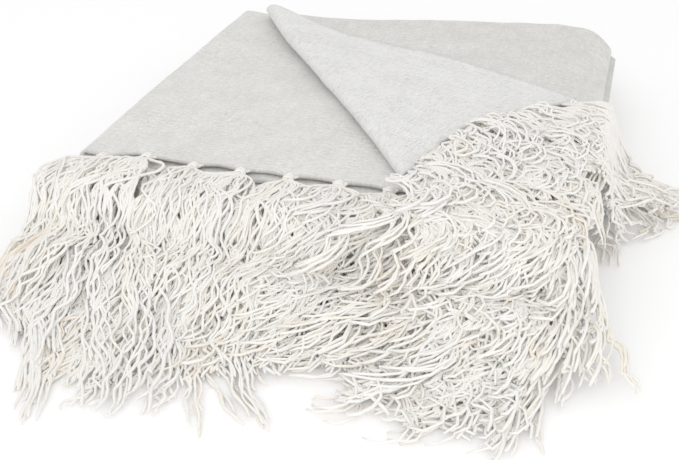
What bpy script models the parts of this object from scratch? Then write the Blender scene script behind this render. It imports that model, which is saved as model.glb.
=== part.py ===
"""A chenille throw blanket with a long knotted fringe, folded into a stack.

The sheet is folded in thirds across its width, then back and forth in four panels along its length, and
the front corner of the top third is turned back over the stack. Metres, +Z up, the front hem along X, and
the origin under the middle of the stack.
"""

import math

import bmesh
import bpy
from mathutils import Vector

# The sheet, laid out flat
CLOTH_WIDTH = 1.25
CLOTH_LENGTH = 1.78
CLOTH_THICKNESS = 0.003

# The folded stack: the pitch is from the middle of one layer to the middle of the next
LAYER_PITCH = 0.0053
TOP_THIRD = 0.384
SECOND_THIRD = 0.420
RIGHT_FOLD_X = 0.418
TOP_PANEL = 0.402
FRONT_FOLD_Y = -0.060
LOWER_BACK_FOLD_Y = 0.357
WHOLE_STACK_LAYERS = 11

# Cells of the sheet's mesh in each of its stretches: the first, third and last lie flat, the others are bends
CELLS_ACROSS = [3, 4, 3, 4, 2]
CELLS_ALONG = [7, 5, 3, 4, 3, 5, 3]
ROLL_STEPS = 4

# How far each panel slid sideways as the throw was folded, and how far each third's two hems are off square
PANEL_SLIDE = {"first": 0.0, "second": -0.006, "third": -0.009, "fourth": -0.003}
HEM_ADVANCE = {"top": -0.002, "second": 0.0, "third": 0.008}
END_ADVANCE = {"top": 0.004, "second": -0.002, "third": -0.010}
ADVANCE_REACH = 0.15

# The turned corner: its crease runs from the selvedge to the hem, and is a loose roll at the back
CREASE_ON_SELVEDGE = 0.395
CREASE_ON_HEM = 0.253
ROLL_AT_SELVEDGE = 0.0085
ROLL_AT_HEM = 0.0034
ROLL_SETTLES_OVER = 0.09
CREASE_LIFT = 0.006
CREASE_LIFT_WIDTH = 0.035
CREASE_CLEARANCE = 0.010

# How the turned corner's hem lies: its tip is drawn to the front and right, and its middle bows to the left
HEM_COURSE = [
    # s across the sheet, how far it is drawn along X, how far along Y
    (0.000, 0.022, -0.034),
    (0.035, 0.013, -0.024),
    (0.075, -0.001, -0.008),
    (0.115, -0.013, 0.005),
    (0.160, -0.012, 0.005),
    (0.195, -0.007, 0.003),
    (0.226, 0.000, 0.000),
]
HEM_COURSE_REACH = 0.15
CLEAR_OF_ROLL = 0.012

# The soft ridge across the front corner of the second third, over the stack's front left
RIDGE_BACK = (0.024, 0.066)
RIDGE_FRONT = (0.060, -0.006)
RIDGE_HEIGHT = 0.0045
RIDGE_WIDTH = 0.015
RIDGE_REACH = 0.13

# How the whole stack is off square and uneven
STACK_CENTRE = (0.21, 0.16)
BACK_EDGE = [
    # x, how far the back edge lies behind its even place
    (0.000, 0.002),
    (0.040, -0.014),
    (0.120, -0.026),
    (0.240, 0.002),
    (0.385, 0.036),
]
BACK_CORNER = [
    # x, how far the back right corner is rounded off towards the front
    (0.385, 0.0),
    (0.405, 0.006),
    (0.424, 0.018),
]
BACK_CORNER_START = 0.25
DOME = 0.045
DOME_START = 0.10
DOME_RISE = 0.25
CORNER_DROOP = 0.05
CORNER_REACH = 0.14
HEM_EASE = 0.03

# The fringe: groups of strands, each gathered in one knot
STRAND_LENGTH = 0.178
KNOT_WIDTH = 0.0100
KNOT_DEPTH = 0.0095
KNOT_RISE = 0.0021
KNOT_ROUNDING = 0.25
HEM_CORD_DEPTH = 0.0040
HEM_GAP = 0.0003
LOCK_WIDTH = 0.0058
CORNER_LOCK_WIDTH = 0.0038
LOCK_THICKNESS = 0.0032
GROWING_SHARES = (0.45, 0.8, 1.0)
TIP_SHARE = 0.3
LOCKS_IN_KNOT = 4
UNEVEN_ENDS = 0.05
UNEVEN_PER_METRE = 190.0
WAVE = 0.0018
WAVES_PER_METRE = 60.0
CORNER_LAYERS_UP = 3
FLOOR_STATIONS = (0.22, 0.6, 1.0)
NEAR_KNOT = 0.3
HALF_FANNED = 0.7

# The way that hanging strands go down off the stack
HANG_ANGLE = math.radians(75.0)
SHOULDER_RADIUS = 0.019
SHOULDER_AND_FOOT = 0.042
RIGHT_EDGE_X = 0.424

# Length of the strands that lie on the surface, by their place along the hem
FLOOR_REACH = [
    # x, length
    (0.000, 0.110),
    (0.040, 0.140),
    (0.085, 0.180),
    (0.200, 0.180),
    (0.240, 0.098),
    (0.270, 0.094),
    (0.310, 0.115),
    (0.345, 0.155),
    (0.430, 0.160),
]

# Which way each knot of the turned corner sends its strands, from the crease out to the corner
CORNER_KNOTS = [
    # share of the hem, heading in degrees from +X
    (0.060, -72.0),
    (0.205, -67.0),
    (0.350, -60.0),
    (0.495, -51.0),
    (0.640, -39.0),
    (0.785, -23.0),
    (0.935, -6.0),
]


def smooth(value):
    """0 below 0, 1 above 1, and a soft step between."""
    value = min(max(value, 0.0), 1.0)
    return value * value * (3.0 - 2.0 * value)


def read_table(rows, place, column=1):
    """A column of a table at a place in its first column, in straight lines between rows."""
    for row, following in zip(rows, rows[1:]):
        if place <= following[0]:
            share = max(place - row[0], 0.0) / (following[0] - row[0])
            return row[column] + (following[column] - row[column]) * share
    return rows[-1][column]


def spread(start, end, cells):
    """Places that divide a stretch evenly, without its two ends."""
    return [start + (end - start) * i / cells for i in range(1, cells)]


# Folding across the width
SIDE_BEND = LAYER_PITCH / 2
SIDE_BEND_LENGTH = math.pi * SIDE_BEND
LEFT_FOLD_X = RIGHT_FOLD_X - SECOND_THIRD
SELVEDGE_X = RIGHT_FOLD_X - TOP_THIRD
ACROSS = [0.0, TOP_THIRD]
ACROSS += [ACROSS[-1] + SIDE_BEND_LENGTH]
ACROSS += [ACROSS[-1] + SECOND_THIRD]
ACROSS += [ACROSS[-1] + SIDE_BEND_LENGTH, CLOTH_WIDTH]


def fold_across(s, w):
    """Place along X and height above the top third, for s across the sheet and w above its middle."""
    if s <= ACROSS[1]:
        return SELVEDGE_X + s, w
    if s <= ACROSS[2]:
        a = (s - ACROSS[1]) / SIDE_BEND
        return RIGHT_FOLD_X + (SIDE_BEND + w) * math.sin(a), (SIDE_BEND + w) * math.cos(a) - SIDE_BEND
    if s <= ACROSS[3]:
        return RIGHT_FOLD_X - (s - ACROSS[2]), -LAYER_PITCH - w
    if s <= ACROSS[4]:
        a = (s - ACROSS[3]) / SIDE_BEND
        x = LEFT_FOLD_X - (SIDE_BEND - w) * math.sin(a)
        return x, (SIDE_BEND - w) * math.cos(a) - 1.5 * LAYER_PITCH
    return LEFT_FOLD_X + (s - ACROSS[4]), w - 2 * LAYER_PITCH


# Folding along the length
OUTER_BEND = 2.5 * LAYER_PITCH
INNER_BEND = 0.5 * LAYER_PITCH
TOP_HEIGHT = WHOLE_STACK_LAYERS * LAYER_PITCH + CLOTH_THICKNESS / 2
ALONG = [0.0, TOP_PANEL]
ALONG += [ALONG[-1] + math.pi * OUTER_BEND]
ALONG += [ALONG[-1] + TOP_PANEL - FRONT_FOLD_Y]
ALONG += [ALONG[-1] + math.pi * INNER_BEND]
ALONG += [ALONG[-1] + LOWER_BACK_FOLD_Y - FRONT_FOLD_Y]
ALONG += [ALONG[-1] + math.pi * OUTER_BEND, CLOTH_LENGTH]


def fold_along(t, n):
    """Place along Y, height, and sideways slide, for t along the sheet and n above the top third."""
    slides = list(PANEL_SLIDE.values())
    if t <= ALONG[1]:
        return t, TOP_HEIGHT + n, slides[0]
    if t <= ALONG[2]:
        a = (t - ALONG[1]) / OUTER_BEND
        slide = slides[0] + (slides[1] - slides[0]) * a / math.pi
        height = TOP_HEIGHT - OUTER_BEND + (OUTER_BEND + n) * math.cos(a)
        return TOP_PANEL + (OUTER_BEND + n) * math.sin(a), height, slide
    height = TOP_HEIGHT - 2 * OUTER_BEND
    if t <= ALONG[3]:
        return TOP_PANEL - (t - ALONG[2]), height - n, slides[1]
    if t <= ALONG[4]:
        a = (t - ALONG[3]) / INNER_BEND
        slide = slides[1] + (slides[2] - slides[1]) * a / math.pi
        y = FRONT_FOLD_Y - (INNER_BEND - n) * math.sin(a)
        return y, height - INNER_BEND + (INNER_BEND - n) * math.cos(a), slide
    height -= 2 * INNER_BEND
    if t <= ALONG[5]:
        return FRONT_FOLD_Y + (t - ALONG[4]), height + n, slides[2]
    if t <= ALONG[6]:
        a = (t - ALONG[5]) / OUTER_BEND
        slide = slides[2] + (slides[3] - slides[2]) * a / math.pi
        height += (OUTER_BEND + n) * math.cos(a) - OUTER_BEND
        return LOWER_BACK_FOLD_Y + (OUTER_BEND + n) * math.sin(a), height, slide
    return LOWER_BACK_FOLD_Y - (t - ALONG[6]), height - 2 * OUTER_BEND - n, slides[3]


def hem_shift(s, t):
    """How far the sheet is drawn towards the front near its two hems, which aren't square."""
    thirds = ["top", "second", "third"]
    middles = [(ACROSS[1] + ACROSS[2]) / 2, (ACROSS[3] + ACROSS[4]) / 2]
    shift = 0.0
    for table, distance in ((HEM_ADVANCE, t), (END_ADVANCE, CLOTH_LENGTH - t)):
        value = table[thirds[0]]
        for middle, before, after in zip(middles, thirds, thirds[1:]):
            value += (table[after] - table[before]) * smooth((s - middle) / SIDE_BEND_LENGTH + 0.5)
        shift += value * (1.0 - smooth(distance / ADVANCE_REACH))
    return shift


# The crease of the turned corner, from its end on the selvedge to its end on the hem
CREASE_LENGTH = math.hypot(CREASE_ON_HEM, CREASE_ON_SELVEDGE)
CREASE_ALONG = (CREASE_ON_HEM / CREASE_LENGTH, -CREASE_ON_SELVEDGE / CREASE_LENGTH)
CREASE_OUT = (CREASE_ALONG[1], -CREASE_ALONG[0])


def turn_corner(x, y, z, w):
    """Rolls what lies in front of the crease up, over and back onto the top third."""
    from_end = (x - SELVEDGE_X, y - CREASE_ON_SELVEDGE)
    v = from_end[0] * CREASE_ALONG[0] + from_end[1] * CREASE_ALONG[1]
    u = from_end[0] * CREASE_OUT[0] + from_end[1] * CREASE_OUT[1]
    share = min(max(v / CREASE_LENGTH, 0.0), 1.0)
    roll = ROLL_AT_SELVEDGE + (ROLL_AT_HEM - ROLL_AT_SELVEDGE) * smooth(share)
    drawn = smooth((u - math.pi * roll) / CLEAR_OF_ROLL) * (1.0 - smooth(y / HEM_COURSE_REACH))
    drawn_x, drawn_y = (drawn * read_table(HEM_COURSE, x - SELVEDGE_X, column) for column in (1, 2))
    if u > 0.0:
        turned = u / roll
        if turned < math.pi:
            u = (roll - w) * math.sin(turned)
            z += roll - (roll - w) * math.cos(turned) - w
        else:
            u = -(u - math.pi * roll)
            settle = smooth(-u / ROLL_SETTLES_OVER)
            z += 2 * roll + (LAYER_PITCH - 2 * roll) * settle - 2 * w
    lift = CREASE_LIFT * (1.0 - smooth(share)) * smooth((v + CREASE_LIFT_WIDTH) / (2 * CREASE_LIFT_WIDTH))
    z += lift * math.exp(-((u / CREASE_LIFT_WIDTH) ** 2))
    x = SELVEDGE_X + v * CREASE_ALONG[0] + u * CREASE_OUT[0] + drawn_x
    y = CREASE_ON_SELVEDGE + v * CREASE_ALONG[1] + u * CREASE_OUT[1] + drawn_y
    return x, y, z


def corner_ridge(x, y):
    """Height of the soft ridge across the second third's front corner."""
    along = (RIDGE_FRONT[0] - RIDGE_BACK[0], RIDGE_FRONT[1] - RIDGE_BACK[1])
    length = math.hypot(*along)
    v = ((x - RIDGE_BACK[0]) * along[0] + (y - RIDGE_BACK[1]) * along[1]) / length
    u = ((x - RIDGE_BACK[0]) * along[1] - (y - RIDGE_BACK[1]) * along[0]) / length
    return RIDGE_HEIGHT * smooth(1.0 + v / length) * math.exp(-((u / RIDGE_WIDTH) ** 2))


def settle_stack(x, y, z):
    """The stack as it lies: its back edge out of square, its top a low dome, its front corner drooping."""
    back = min(max(y / TOP_PANEL, 0.0), 1.1)
    rounded = smooth((y - BACK_CORNER_START) / (TOP_PANEL - BACK_CORNER_START))
    across = (x - LEFT_FOLD_X) / SECOND_THIRD
    dome = DOME * smooth(2 * across) * smooth(2 * (1.0 - across)) * smooth((y + DOME_START) / DOME_RISE)
    from_corner = math.hypot(x - LEFT_FOLD_X, y) / CORNER_REACH
    droop = CORNER_DROOP * (1.0 - smooth(from_corner)) * smooth(y / HEM_EASE + 1.0)
    y += read_table(BACK_EDGE, x) * back - read_table(BACK_CORNER, x) * rounded
    return x - STACK_CENTRE[0], y - STACK_CENTRE[1], z * (1.0 + dome - droop)


def folded(s, t, w):
    """Where a point of the sheet lies once it is folded: s across, t along, w above its middle."""
    x, n = fold_across(s, w)
    y, z, slide = fold_along(t, n)
    x += slide
    y -= hem_shift(s, t)
    if s <= ACROSS[1] and t <= ALONG[1]:
        x, y, z = turn_corner(x, y, z, w)
    elif ACROSS[2] <= s <= ACROSS[3] and t <= ALONG[1]:
        z += corner_ridge(x, y)
    return x, y, z


def make_material(name, colour, roughness):
    """A plain yarn material."""
    material = bpy.data.materials.new(name)
    material.use_nodes = True
    shader = material.node_tree.nodes["Principled BSDF"]
    shader.inputs["Base Color"].default_value = (*colour, 1.0)
    shader.inputs["Roughness"].default_value = roughness
    shader.inputs["Metallic"].default_value = 0.0
    return material


def add_object(name, bm, material):
    """Turns a finished bmesh into a named object with its faces pointing out."""
    bmesh.ops.recalc_face_normals(bm, faces=bm.faces)
    mesh = bpy.data.meshes.new(name)
    bm.to_mesh(mesh)
    bm.free()
    mesh.materials.append(material)
    thing = bpy.data.objects.new(name, mesh)
    bpy.context.collection.objects.link(thing)
    return thing


def cut(bm, point, normal, faces):
    """Cuts a line through some faces of the flat sheet."""
    edges = {edge for face in faces for edge in face.edges}
    verts = {vert for face in faces for vert in face.verts}
    geometry = list(verts) + list(edges) + faces
    bmesh.ops.bisect_plane(bm, geom=geometry, plane_co=point, plane_no=normal, dist=1e-6)


def faces_within(bm, low_s, high_s, high_t):
    """Faces of the flat sheet whose middles lie in a part of its first panel."""
    middles = [(face, face.calc_center_median()) for face in bm.faces]
    return [face for face, middle in middles if low_s < middle.x < high_s and middle.y < high_t]


def cut_crease(bm):
    """Cuts the lines on either side of the turned corner's crease that its roll and its lift need."""
    rolled = [math.pi * k / ROLL_STEPS for k in range(ROLL_STEPS + 1)]
    lines = [(turn * ROLL_AT_SELVEDGE, turn * ROLL_AT_HEM) for turn in rolled]
    flat_from = math.pi * ROLL_AT_HEM
    beyond = [flat_from + ROLL_SETTLES_OVER, flat_from + ROLL_SETTLES_OVER / 2]
    beyond += [-CREASE_LIFT_WIDTH * 0.7, -CREASE_LIFT_WIDTH * 1.8]
    for at_selvedge, at_hem in lines + [(distance, distance) for distance in beyond]:
        start = (CREASE_OUT[0] * at_selvedge, CREASE_ON_SELVEDGE + CREASE_OUT[1] * at_selvedge)
        end = (CREASE_ON_HEM + CREASE_OUT[0] * at_hem, CREASE_OUT[1] * at_hem)
        normal = (end[1] - start[1], start[0] - end[0], 0.0)
        cut(bm, (*start, 0.0), normal, faces_within(bm, 0.0, ACROSS[1], ALONG[1]))


def cut_hem_course(bm):
    """Cuts the lines across the turned corner at which its hem changes its course."""
    for place, _, _ in HEM_COURSE[1:]:
        cut(bm, (place, 0.0, 0.0), (1.0, 0.0, 0.0), faces_within(bm, 0.0, ACROSS[1], HEM_COURSE_REACH))


def cut_ridge(bm):
    """Cuts the lines that the soft ridge across the second third's corner needs."""
    back_s = ACROSS[3] - (RIDGE_BACK[0] - LEFT_FOLD_X)
    front_s = ACROSS[3] - (RIDGE_FRONT[0] - LEFT_FOLD_X)
    normal = (RIDGE_BACK[1] - RIDGE_FRONT[1], front_s - back_s, 0.0)
    for aside in (-2.0, -1.0, 0.0, 1.0, 2.0):
        step = aside * RIDGE_WIDTH / math.hypot(*normal)
        point = (back_s + normal[0] * step, RIDGE_BACK[1] + normal[1] * step, 0.0)
        cut(bm, point, normal, faces_within(bm, ACROSS[3] - RIDGE_REACH, ACROSS[3], RIDGE_REACH))


def uneven_places():
    """Places across the sheet, in all three thirds, where the back edge changes its course."""
    places = []
    for x in sorted({x for x, _ in BACK_EDGE[1:] + BACK_CORNER[1:-1]}):
        places += [x - SELVEDGE_X, ACROSS[2] + RIGHT_FOLD_X - x, ACROSS[4] + x - LEFT_FOLD_X]
    return places


def make_cloth():
    """The whole sheet as one solid: cut along its fold lines while flat, then folded."""
    bm = bmesh.new()
    bmesh.ops.create_cube(bm, size=1.0)
    for vert in bm.verts:
        vert.co.x = (vert.co.x + 0.5) * CLOTH_WIDTH
        vert.co.y = (vert.co.y + 0.5) * CLOTH_LENGTH
        vert.co.z *= CLOTH_THICKNESS
    stretches = ((ACROSS, CELLS_ACROSS, (1, 0, 0)), (ALONG, CELLS_ALONG, (0, 1, 0)))
    for places, cells, normal in stretches:
        lines = places[1:-1] + (uneven_places() if places is ACROSS else [])
        for start, end, count in zip(places, places[1:], cells):
            lines += spread(start, end, count)
        for place in sorted(lines):
            cut(bm, [place * axis for axis in normal], normal, list(bm.faces))
    cut_crease(bm)
    cut_hem_course(bm)
    cut_ridge(bm)
    for vert in bm.verts:
        vert.co = settle_stack(*folded(*vert.co))
    return add_object("throw_cloth", bm, CHENILLE)


def hang_stretches(run, layers_up, drop):
    """Lengths of a hanging strand's stretches: level, over the shoulder, down, and out round the foot."""
    shoulder = SHOULDER_RADIUS + layers_up * LAYER_PITCH
    foot = SHOULDER_AND_FOOT - shoulder
    straight = (drop - SHOULDER_AND_FOOT * (1.0 - math.cos(HANG_ANGLE))) / math.sin(HANG_ANGLE)
    return run, shoulder, straight, foot


def hang_profile(travel, stretches):
    """Distance out and distance down for a strand that runs level, over a shoulder, down and out again."""
    run, shoulder, straight, foot = stretches
    out, down = min(travel, run), 0.0
    travel -= run
    if travel <= 0.0:
        return out, down
    a = min(travel / shoulder, HANG_ANGLE)
    out += shoulder * math.sin(a)
    down += shoulder * (1.0 - math.cos(a))
    travel -= shoulder * HANG_ANGLE
    if travel <= 0.0:
        return out, down
    out += min(travel, straight) * math.cos(HANG_ANGLE)
    down += min(travel, straight) * math.sin(HANG_ANGLE)
    travel -= straight
    if travel <= 0.0:
        return out, down
    a = HANG_ANGLE - min(travel / foot, HANG_ANGLE)
    out += foot * (math.sin(HANG_ANGLE) - math.sin(a))
    down += foot * (math.cos(a) - math.cos(HANG_ANGLE))
    return out + max(travel - foot * HANG_ANGLE, 0.0), down


def strand_path(start, heading, layers_up, length):
    """Points of one strand from its knot, for one that lies on the surface or hangs off the stack."""
    x, y, z = start
    direction = (math.cos(heading), math.sin(heading))
    if layers_up is None:
        stations = [length * share for share in FLOOR_STATIONS]
        return [(x + direction[0] * travel, y + direction[1] * travel, z) for travel in stations]
    to_front = (y - FRONT_FOLD_Y) / max(-direction[1], 1e-6)
    to_side = (RIGHT_EDGE_X - x) / max(direction[0], 1e-6)
    if to_front <= to_side:
        stretches = hang_stretches(to_front, layers_up, 6 * LAYER_PITCH)
        slant = -1.0 / direction[1]
    else:
        stretches = hang_stretches(to_side, 0, z - LOCK_THICKNESS / 2)
        slant = 1.0 / direction[0]
    run, shoulder, straight, foot = stretches
    over = run + shoulder * HANG_ANGLE
    landed = over + straight + foot * HANG_ANGLE
    stations = [min(run, length) * 0.5, run, run + shoulder * HANG_ANGLE / 2, over, landed, length]
    if straight > SHOULDER_RADIUS:
        stations.append(over + straight)
    points = []
    for travel in sorted(station for station in stations if station <= length):
        out, down = hang_profile(travel, stretches)
        out += max(out - run, 0.0) * (slant - 1.0)
        points.append((x + direction[0] * out, y + direction[1] * out, z - down))
    return points


def make_fringe(name, spans, edge_at, locks_of, proud):
    """One hem's backing cord with its raised knots and the locks that hang from them.

    spans are the knots' places along the hem, edge_at gives a point of the backing for a place along the
    hem, a distance out and a height, locks_of gives the ring centres of each lock of a knot, and proud is
    how far a knot stands above the backing.
    """
    half = CLOTH_THICKNESS / 2
    columns = []
    for index, (low, middle, high) in enumerate(spans):
        columns.append((low, HEM_CORD_DEPTH, half, None))
        for j in range(LOCKS_IN_KNOT + 1):
            place = middle + math.copysign(KNOT_WIDTH, high - low) * (j / LOCKS_IN_KNOT - 0.5)
            round_off = 1.0 - KNOT_ROUNDING * abs(2.0 * j / LOCKS_IN_KNOT - 1.0) ** 2
            knot = (index, j) if j < LOCKS_IN_KNOT else None
            columns.append((place, KNOT_DEPTH * round_off, half + proud * round_off, knot))
    columns.append((spans[-1][2], HEM_CORD_DEPTH, half, None))

    bm = bmesh.new()
    bmesh.ops.create_grid(bm, x_segments=len(columns) - 1, y_segments=1, size=0.5)
    top = list(bm.faces)
    lower = bmesh.ops.extrude_face_region(bm, geom=top)
    under = {item for item in lower["geom"] if isinstance(item, bmesh.types.BMVert)}
    corners = {}
    for vert in bm.verts:
        column = round((vert.co.x + 0.5) * (len(columns) - 1))
        corners[vert] = (column, vert.co.y < 0.0, vert not in under)
    for vert, (column, front, upper) in corners.items():
        place, depth, height, _ = columns[column]
        out = depth if front else HEM_GAP
        level = (height if front else half) if upper else -half
        vert.co = edge_at(place, out, level)
    fronts = {}
    for face in bm.faces:
        found = [corners[vert] for vert in face.verts]
        if all(front for _, front, _ in found):
            knot = columns[min(column for column, _, _ in found)][3]
            if knot:
                fronts[knot] = face
    for (index, j), face in fronts.items():
        rings = locks_of(index, j)
        side_of = {vert: (corners[vert][0], corners[vert][2]) for vert in face.verts}
        left = min(column for column, _ in side_of.values())
        for centre, side, lift, width, thickness in rings:
            made = bmesh.ops.extrude_discrete_faces(bm, faces=[face])["faces"][0]
            moved = {}
            for vert in made.verts:
                below = next(e.other_vert(vert) for e in vert.link_edges if e.other_vert(vert) in side_of)
                column, upper = side_of[below]
                moved[vert] = (column, upper)
                across = (0.5 if column > left else -0.5) * width
                up = (0.5 if upper else -0.5) * thickness
                vert.co = [c + across * a + up * b for c, a, b in zip(centre, side, lift)]
            face, side_of = made, moved
    for vert in bm.verts:
        vert.co = settle_stack(*vert.co)
    return add_object(name, bm, FRINGE_YARN)


def rings_along(points, full_width, thickness, knot_side):
    """Ring frames for a lock: each has a centre, a level side vector, a lift vector, width and thickness.

    knot_side is the way along the hem, which the first ring follows and the others turn away from.
    """
    rings = []
    for i, point in enumerate(points):
        before = points[max(i - 1, 0)]
        after = points[min(i + 1, len(points) - 1)]
        ahead = [b - a for a, b in zip(before, after)]
        size = math.sqrt(sum(c * c for c in ahead)) or 1.0
        ahead = [c / size for c in ahead]
        flat = math.hypot(ahead[0], ahead[1])
        side = (-ahead[1] / flat, ahead[0] / flat, 0.0)
        lift = (
            ahead[1] * side[2] - ahead[2] * side[1],
            ahead[2] * side[0] - ahead[0] * side[2],
            ahead[0] * side[1] - ahead[1] * side[0],
        )
        lift = [-c for c in lift] if lift[2] < 0.0 else lift
        if side[0] * knot_side[0] + side[1] * knot_side[1] < 0.0:
            side = [-c for c in side]
        if i == 0:
            side = knot_side
        width = full_width * (TIP_SHARE if i == len(points) - 1 else GROWING_SHARES[min(i, 2)])
        rings.append((point, side, lift, width, thickness))
    return rings


def knots_between(start, end, count):
    """Even knots along a stretch of hem: the low end, middle and high end of each one's share."""
    pitch = (end - start) / count
    return [(start + pitch * i, start + pitch * (i + 0.5), start + pitch * (i + 1)) for i in range(count)]


def make_straight_fringe(name, start, end, count, far_end, upside, layers_up, proud):
    """The fringe of one third's hem, whose strands all point to the front.

    upside is 1 where the sheet's first face is up in this third, and -1 where it is down.
    """
    spans = knots_between(start, end, count)
    thickness = CLOTH_THICKNESS if far_end else LOCK_THICKNESS

    def edge_at(place, out, level):
        return folded(place, CLOTH_LENGTH + out if far_end else -out, level * upside)

    def locks_of(index, j):
        low, middle, high = (edge_at(place, 0.0, 0.0)[0] for place in spans[index])
        share = (j + 0.5) / LOCKS_IN_KNOT - 0.5
        root = edge_at(spans[index][1] + KNOT_WIDTH * share, KNOT_DEPTH, 0.0)
        goal = middle + (high - low) * share
        length = read_table(FLOOR_REACH, goal) if far_end else STRAND_LENGTH - KNOT_DEPTH
        length *= 1.0 - UNEVEN_ENDS * math.sin(UNEVEN_PER_METRE * goal + root[2] / LAYER_PITCH)
        fanned = []
        for i, (x, y, z) in enumerate(strand_path(root, -math.pi / 2, layers_up, length)):
            spread_out = HALF_FANNED if i == 0 else 1.0
            wave = WAVE * math.sin(WAVES_PER_METRE * y + root[2] / LAYER_PITCH)
            fanned.append((x + (goal - root[0] + wave) * spread_out, y, z))
        near = [a + (b - a) * NEAR_KNOT for a, b in zip(root, fanned[0])]
        return rings_along([near] + fanned, LOCK_WIDTH, thickness, (math.copysign(1.0, high - low), 0.0, 0.0))

    return make_fringe(name, spans, edge_at, locks_of, proud)


def make_corner_fringe():
    """The fringe of the turned corner: its strands fan from the front round to the right."""
    hem_end = CREASE_ON_HEM - math.pi * ROLL_AT_HEM - CREASE_CLEARANCE / 2
    middles = [hem_end * (1.0 - share) for share, _ in CORNER_KNOTS]
    bounds = [hem_end] + [(a + b) / 2 for a, b in zip(middles, middles[1:])] + [0.0]
    spans = list(zip(bounds, middles, bounds[1:]))
    headings = [(-middle, math.radians(aim)) for middle, (_, aim) in zip(middles, CORNER_KNOTS)]

    def edge_at(place, out, level):
        return folded(place, -out, -level)

    def locks_of(index, j):
        low, middle, high = spans[index]
        share = (j + 0.5) / LOCKS_IN_KNOT - 0.5
        root = edge_at(middle - KNOT_WIDTH * share, KNOT_DEPTH, 0.0)
        goal = middle + (high - low) * share
        fanned_root = edge_at(goal, KNOT_DEPTH, 0.0)
        points = strand_path(
            fanned_root, read_table(headings, -goal), CORNER_LAYERS_UP, STRAND_LENGTH - KNOT_DEPTH
        )
        unspread = 1.0 - HALF_FANNED
        points[0] = [p - unspread * (b - a) for p, a, b in zip(points[0], root, fanned_root)]
        near = [a + (p - a) * NEAR_KNOT for a, p in zip(root, points[0])]
        ends = edge_at(low, 0.0, 0.0), edge_at(high, 0.0, 0.0)
        knot_side = Vector((ends[1][0] - ends[0][0], ends[1][1] - ends[0][1], 0.0)).normalized()
        return rings_along([near] + points, CORNER_LOCK_WIDTH, LOCK_THICKNESS, knot_side)

    return make_fringe("fringe_corner", spans, edge_at, locks_of, KNOT_RISE)


for thing in list(bpy.data.objects):
    bpy.data.objects.remove(thing, do_unlink=True)

CHENILLE = make_material("chenille", (0.80, 0.78, 0.74), 0.85)
FRINGE_YARN = make_material("fringe_yarn", (0.82, 0.79, 0.74), 0.7)

make_cloth()
make_straight_fringe("fringe_third", ACROSS[4], ACROSS[5], 10, False, 1, 0, 0.0)
make_straight_fringe("fringe_second", ACROSS[2], ACROSS[3], 10, False, -1, 1, KNOT_RISE)
make_straight_fringe("fringe_top", CREASE_ON_HEM + CREASE_CLEARANCE, ACROSS[1], 3, False, 1, 2, KNOT_RISE)
make_corner_fringe()
make_straight_fringe("fringe_end_bottom", ACROSS[0], ACROSS[1], 9, True, -1, None, 0.0)
make_straight_fringe("fringe_end_middle", ACROSS[2], ACROSS[3], 10, True, 1, None, 0.0)
make_straight_fringe("fringe_end_top", ACROSS[4], ACROSS[5], 10, True, -1, None, 0.0)
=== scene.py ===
"""A folded chenille throw with a long knotted fringe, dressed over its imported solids.

Metres, +Z up, the stack's front hem along X, and the origin under the middle of the stack.
"""

import math

import bmesh
import bpy
import numpy as np
from mathutils import Matrix, Vector, noise


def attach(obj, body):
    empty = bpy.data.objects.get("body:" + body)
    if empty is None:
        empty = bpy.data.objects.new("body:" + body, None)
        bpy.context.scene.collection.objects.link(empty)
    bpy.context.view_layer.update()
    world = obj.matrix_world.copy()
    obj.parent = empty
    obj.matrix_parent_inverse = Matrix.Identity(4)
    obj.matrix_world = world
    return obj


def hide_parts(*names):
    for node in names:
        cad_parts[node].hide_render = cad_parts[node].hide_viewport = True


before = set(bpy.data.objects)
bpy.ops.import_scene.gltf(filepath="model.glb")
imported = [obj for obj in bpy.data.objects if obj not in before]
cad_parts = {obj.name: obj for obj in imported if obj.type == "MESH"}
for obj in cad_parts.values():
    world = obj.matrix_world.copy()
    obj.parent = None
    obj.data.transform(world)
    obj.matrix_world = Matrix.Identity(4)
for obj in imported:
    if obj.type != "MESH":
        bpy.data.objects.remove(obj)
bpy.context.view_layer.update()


# The studio: a wide sweep of white paper under the throw, a pale room and two large soft lamps, and the
# camera 43 cm up, 70 cm in front of the hem, a little to the right and turned back to the left.
class Reading:
    """A number that varies over a surface: arithmetic on it adds the Math nodes."""

    def __init__(self, finish, socket):
        self.finish = finish
        self.socket = socket

    def maths(self, operation, *others, clamped=False):
        settings = {"operation": operation, "use_clamp": clamped}
        node = self.finish.add("ShaderNodeMath", settings, dict(enumerate((self, *others))))
        return Reading(self.finish, node.outputs[0])

    def __add__(self, other):
        return self.maths("ADD", other)

    def __sub__(self, other):
        return self.maths("SUBTRACT", other)

    def __rsub__(self, other):
        return self.maths("MULTIPLY", -1.0).maths("ADD", other)

    def __mul__(self, other):
        return self.maths("MULTIPLY", other)

    __radd__ = __add__
    __rmul__ = __mul__

    def clipped(self):
        return self.maths("ADD", 0.0, clamped=True)


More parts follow.
